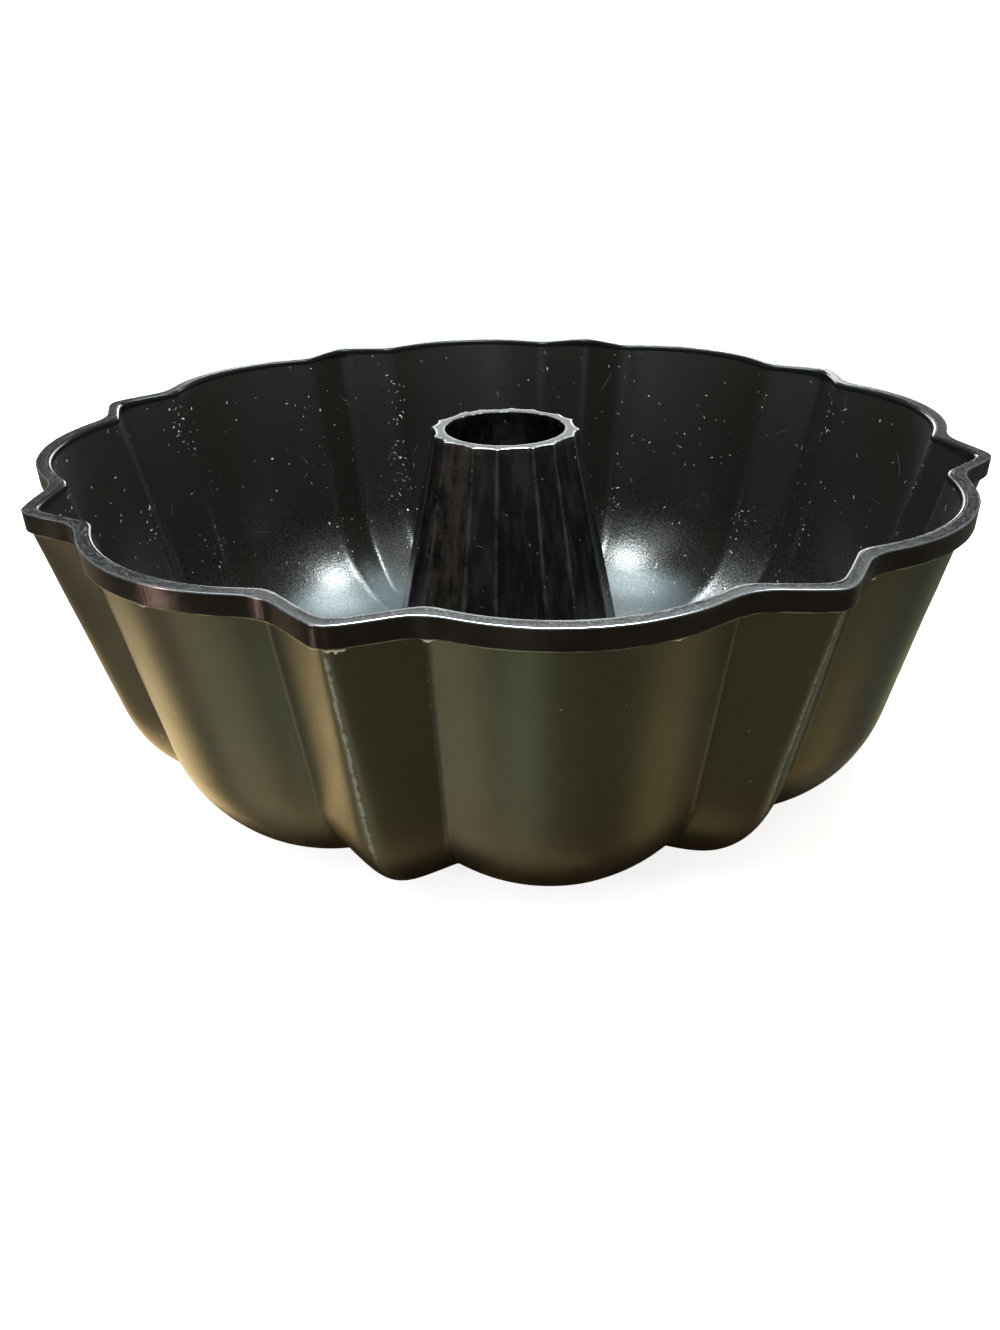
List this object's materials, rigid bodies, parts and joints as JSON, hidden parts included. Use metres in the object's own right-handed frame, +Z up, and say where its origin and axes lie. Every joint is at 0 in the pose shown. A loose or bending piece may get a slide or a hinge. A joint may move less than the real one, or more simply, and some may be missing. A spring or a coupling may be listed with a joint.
{
  "type": "fluted tube pan",
  "caption": "Deep round cake mould with pointed ribs, rounded lobes between them, a flat rim with a turned-down skirt and a hollow fluted tube in the middle.",
  "frame": {"origin": "centre of the pan's footprint on the surface it stands on", "axes": "+Z up along the pan's axis; a rib points along +X, and one along +Y"},
  "size_m": [0.264, 0.264, 0.092],
  "materials": {
    "shell_enamel": "satin dark bronze enamel outside, glossy black nonstick coat inside",
    "rim_enamel": "satin brown-black enamel, worn bright along the edges",
    "tube_nonstick": "glossy black nonstick coat, worn at the top ring",
    "lock_ring_metal": "satin dark enamel"
  },
  "bodies": {
    "root": {"fluted_shell": "shell_enamel", "rim_band": "rim_enamel", "centre_tube": "tube_nonstick", "tube_lock_ring": "lock_ring_metal"}
  },
  "joints": []
}
